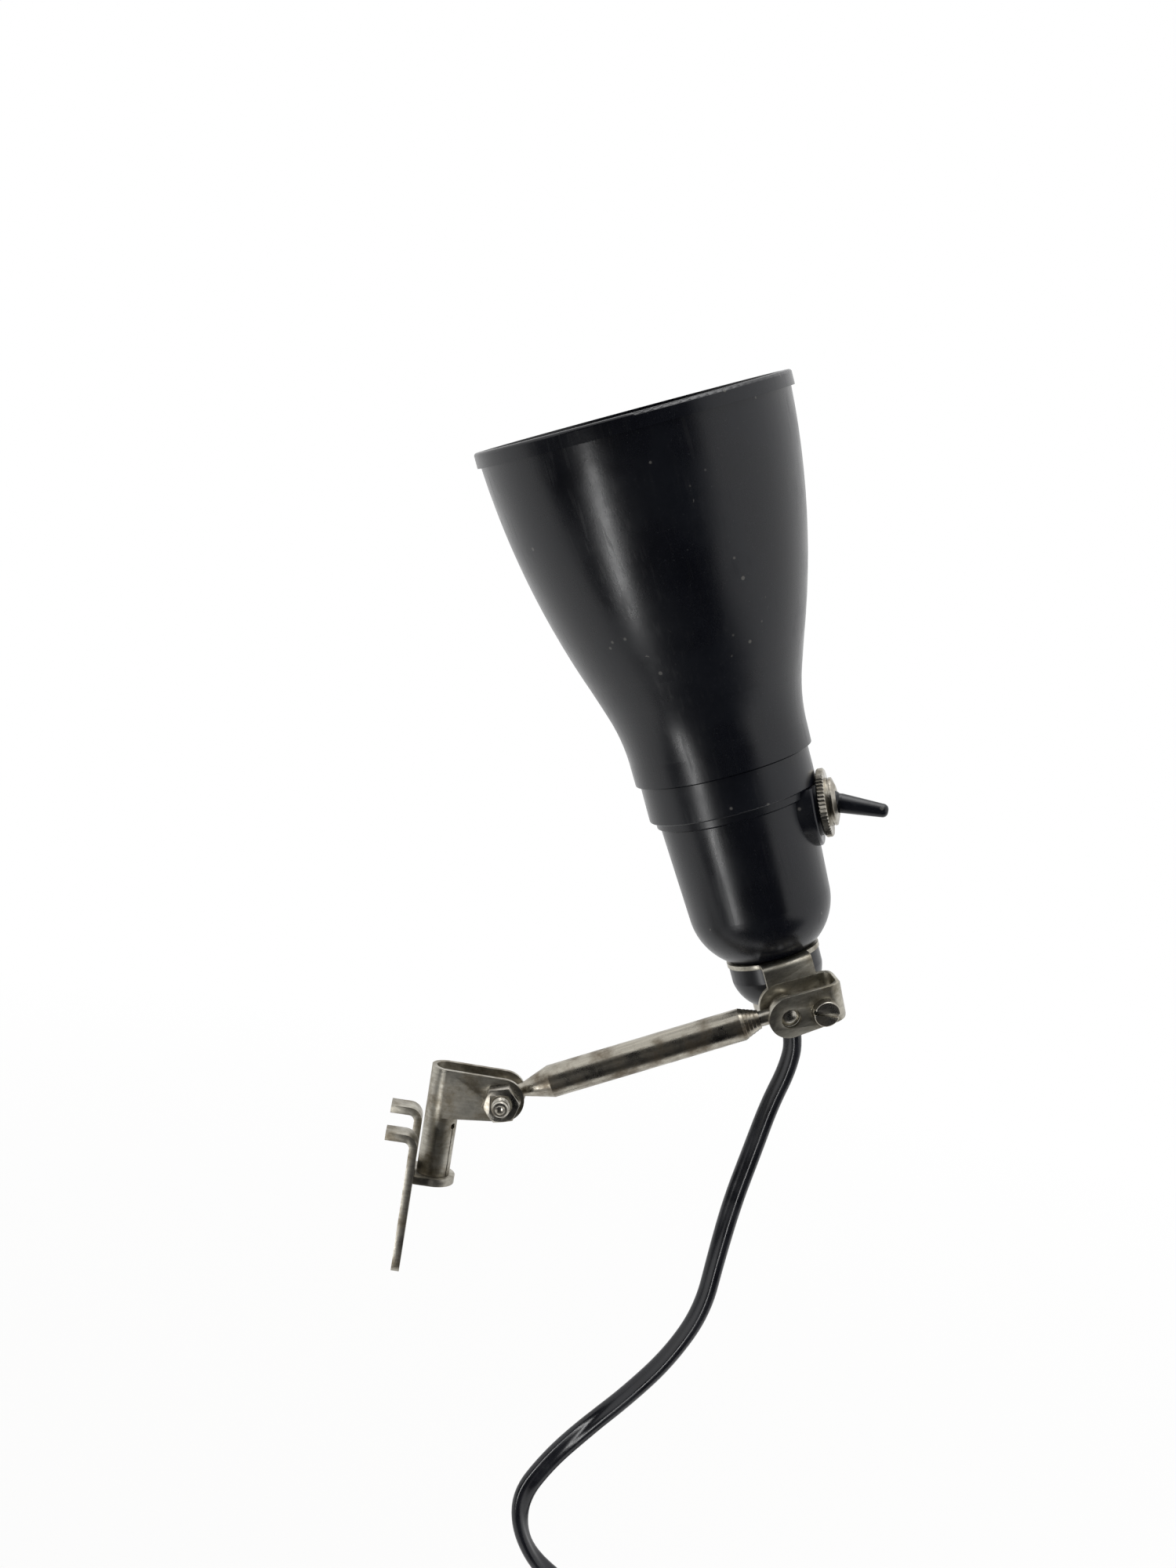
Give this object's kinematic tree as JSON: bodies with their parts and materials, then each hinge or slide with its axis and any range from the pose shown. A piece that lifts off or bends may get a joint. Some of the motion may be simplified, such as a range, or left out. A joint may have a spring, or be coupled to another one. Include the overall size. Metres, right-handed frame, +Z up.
{
  "type": "bracket-mounted adjustable lamp",
  "caption": "Hook-on adjustable lamp: hook plate, swivel sleeve, hinged rod, ball clamp and a flared black shade with a toggle switch on its holder.",
  "frame": {"origin": "middle of the hook plate's flat back face, level with the middle between the tab and the plate's lower part", "axes": "+X out from the board the plate hangs on, +Z up along the swivel pin, +Y away from the viewer of the picture"},
  "size_m": [0.1416, 0.0861, 0.4581],
  "materials": {
    "black_moulding": "black phenolic moulding with a worn satin polish",
    "aged_nickel_steel": "pressed steel with dulled, spotted nickel plating",
    "turned_nickel_steel": "turned steel with thin nickel plating, fine turning rings",
    "cream_ceramic": "glazed cream insulating insert",
    "brass_sheet": "thin brass, slightly tarnished",
    "cord_insulation": "soft insulation of the single cores",
    "black_lever": "polished black moulding",
    "brown_phenolic": "dull brown phenolic switch case",
    "cord_sheath": "smooth black flexible sheath",
    "tie_strap": "soft black strap",
    "plug_moulding": "moulded black plug",
    "plug_pin_nickel": "nickel plated brass pins"
  },
  "bodies": {
    "bracket": {"hook_plate": "aged_nickel_steel", "swivel_pin": "aged_nickel_steel"},
    "sleeve": {"sleeve_clevis": "aged_nickel_steel", "hinge_bolt": "aged_nickel_steel", "hinge_nut": "aged_nickel_steel"},
    "arm": {"arm_rod": "turned_nickel_steel"},
    "stud": {"ball_stud": "turned_nickel_steel"},
    "head": {"clamp_bracket": "aged_nickel_steel", "clamp_screw": "aged_nickel_steel", "nipple": "turned_nickel_steel", "nipple_nut": "aged_nickel_steel", "cord_cap": "black_moulding", "cord_ferrule": "turned_nickel_steel", "holder_body": "black_moulding", "shade_collar": "black_moulding", "shade": "black_moulding", "lamp_insert": "cream_ceramic", "thread_shell": "brass_sheet", "centre_contact": "brass_sheet", "side_contact": "brass_sheet", "terminal_screws": "brass_sheet", "inner_leads": "cord_insulation", "switch_nut": "turned_nickel_steel", "switch_bushing": "turned_nickel_steel", "pivot_pin": "turned_nickel_steel", "switch_case": "brown_phenolic", "cord_lead": "cord_sheath", "cord_coil": "cord_sheath", "coil_tie": "tie_strap", "plug_body": "plug_moulding", "plug_pins": "plug_pin_nickel"},
    "toggle": {"toggle_lever": "black_lever"}
  },
  "joints": [
    {"name": "swivel", "type": "hinge", "parent": "bracket", "child": "sleeve", "pos_m": [0.00715, 0, 0.0064], "axis": [0, 0, 1], "range_deg": [-80, 80]},
    {"name": "arm_tilt", "type": "hinge", "parent": "sleeve", "child": "arm", "pos_m": [0.02269, -0.00068, 0.0307], "axis": [0.0436, 0.999, 0], "range_deg": [-60, 60]},
    {"name": "head_roll", "type": "hinge", "parent": "arm", "child": "stud", "pos_m": [0.09327, -0.00376, 0.06639], "axis": [0.8917, -0.0389, 0.4509], "range_deg": [-60, 60]},
    {"name": "head_tilt", "type": "hinge", "parent": "stud", "child": "head", "pos_m": [0.09327, -0.00376, 0.06639], "axis": [-0.2485, 0.9619, 0.1141], "range_deg": [-60, 30]},
    {"name": "toggle_flip", "type": "hinge", "parent": "head", "child": "toggle", "pos_m": [0.09748, 0.01144, 0.12143], "axis": [0.1703, 0.9848, 0.0341], "range_deg": [-39, 0]}
  ]
}
